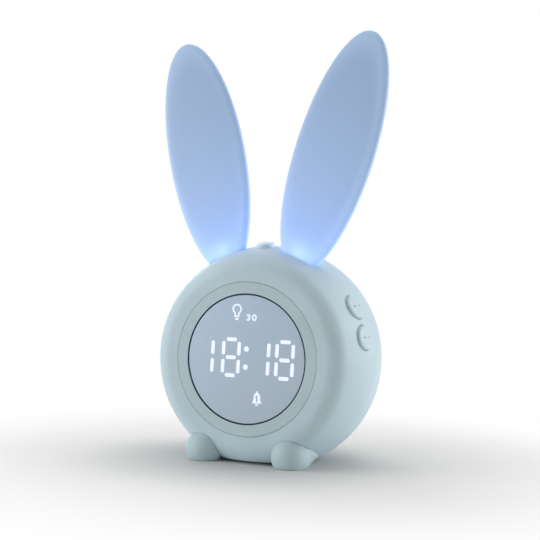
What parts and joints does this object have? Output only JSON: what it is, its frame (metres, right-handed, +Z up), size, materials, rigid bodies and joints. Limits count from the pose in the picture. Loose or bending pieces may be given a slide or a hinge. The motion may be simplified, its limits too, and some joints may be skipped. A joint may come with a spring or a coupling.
{
  "type": "kids alarm clock with night light",
  "caption": "Ball-shaped bedside alarm clock on paw feet, with a round mirrored digit display, press keys on top and on its right side, and two tall glowing ears as a night light.",
  "frame": {"origin": "on the ground below the middle of the clock's bounding box", "axes": "+Z up along the ears, the display faces -Y, +X to the user's right when facing the display"},
  "size_m": [0.114, 0.083, 0.1964],
  "materials": {
    "case_shell": "fine matte moulded plastic, pale mint blue",
    "face_ring": "matte plastic, a little greyer than the case",
    "mirror_lens": "half-mirrored grey-lavender lens that the digits shine through",
    "diffuser_film": "white diffusing film behind the lens",
    "light_block": "black moulded light block",
    "circuit_board": "green glass-fibre board",
    "led": "light-emitting chips",
    "screw_steel": "plain steel screws",
    "glow_ear": "translucent milky plastic, lit blue from the root",
    "key": "same matte plastic as the case",
    "plunger": "white switch pins",
    "switch_case": "black switch housings",
    "foot": "same matte plastic as the case",
    "rubber_pad": "soft grey rubber",
    "chip": "black epoxy package",
    "connector": "cream nylon wire connectors",
    "usb_shell": "plated steel socket shell",
    "cell_wrap": "shrink wrap over the cell",
    "strap": "moulded strap",
    "speaker_frame": "pressed basket",
    "speaker_cone": "paper cone with a foam edge",
    "speaker_magnet": "magnet can"
  },
  "bodies": {
    "case": {"front_shell": "case_shell", "rear_shell": "case_shell", "face_ring": "face_ring", "mirror_lens": "mirror_lens", "diffuser_film": "diffuser_film", "light_block": "light_block", "display_board": "circuit_board", "display_leds": "led", "display_screws": "screw_steel", "left_ear": "glow_ear", "right_ear": "glow_ear", "ear_screws": "screw_steel", "ear_light_boards": "circuit_board", "ear_leds": "led", "ear_board_screws": "screw_steel", "key_switches": "switch_case", "top_key_board": "circuit_board", "right_key_board": "circuit_board", "key_board_screws": "screw_steel", "left_foot": "foot", "right_foot": "foot", "foot_screws": "screw_steel", "rear_pads": "rubber_pad", "main_board": "circuit_board", "main_board_screws": "screw_steel", "controller_chip": "chip", "board_connectors": "connector", "usb_socket": "usb_shell", "usb_board": "circuit_board", "usb_board_screws": "screw_steel", "battery_cell": "cell_wrap", "battery_strap": "strap", "strap_screws": "screw_steel", "speaker_frame": "speaker_frame", "speaker_cone": "speaker_cone", "speaker_magnet": "speaker_magnet", "speaker_screws": "screw_steel", "case_screws": "screw_steel"},
    "top_key": {"top_key": "key"},
    "right_upper_key": {"right_upper_key": "key"},
    "right_lower_key": {"right_lower_key": "key"},
    "top_plunger": {"top_plunger": "plunger"},
    "right_upper_plunger": {"right_upper_plunger": "plunger"},
    "right_lower_plunger": {"right_lower_plunger": "plunger"}
  },
  "joints": [
    {"name": "top_key_press", "type": "slide", "parent": "case", "child": "top_key", "axis": [0, 0.1731, -0.9849], "range_m": [0, 0.0005], "stiffness_N_per_m": 400, "springref_m": -0.0006},
    {"name": "right_upper_key_press", "type": "slide", "parent": "case", "child": "right_upper_key", "axis": [-0.8613, 0.1731, -0.4777], "range_m": [0, 0.0005], "stiffness_N_per_m": 400, "springref_m": -0.0006},
    {"name": "right_lower_key_press", "type": "slide", "parent": "case", "child": "right_lower_key", "axis": [-0.9597, 0.1731, -0.2213], "range_m": [0, 0.0005], "stiffness_N_per_m": 400, "springref_m": -0.0006},
    {"name": "top_plunger_press", "type": "slide", "parent": "case", "child": "top_plunger", "axis": [0, 0.1731, -0.9849], "range_m": [0, 0.0005]},
    {"name": "right_upper_plunger_press", "type": "slide", "parent": "case", "child": "right_upper_plunger", "axis": [-0.9195, 0.1731, -0.353], "range_m": [0, 0.0005]},
    {"name": "right_lower_plunger_press", "type": "slide", "parent": "case", "child": "right_lower_plunger", "axis": [-0.9195, 0.1731, -0.353], "range_m": [0, 0.0005]}
  ],
  "couplings": [
    {"joint": "top_plunger_press", "follows": "top_key_press", "ratio": 1},
    {"joint": "right_upper_plunger_press", "follows": "right_upper_key_press", "ratio": 0.99023},
    {"joint": "right_lower_plunger_press", "follows": "right_lower_key_press", "ratio": 0.99023}
  ]
}
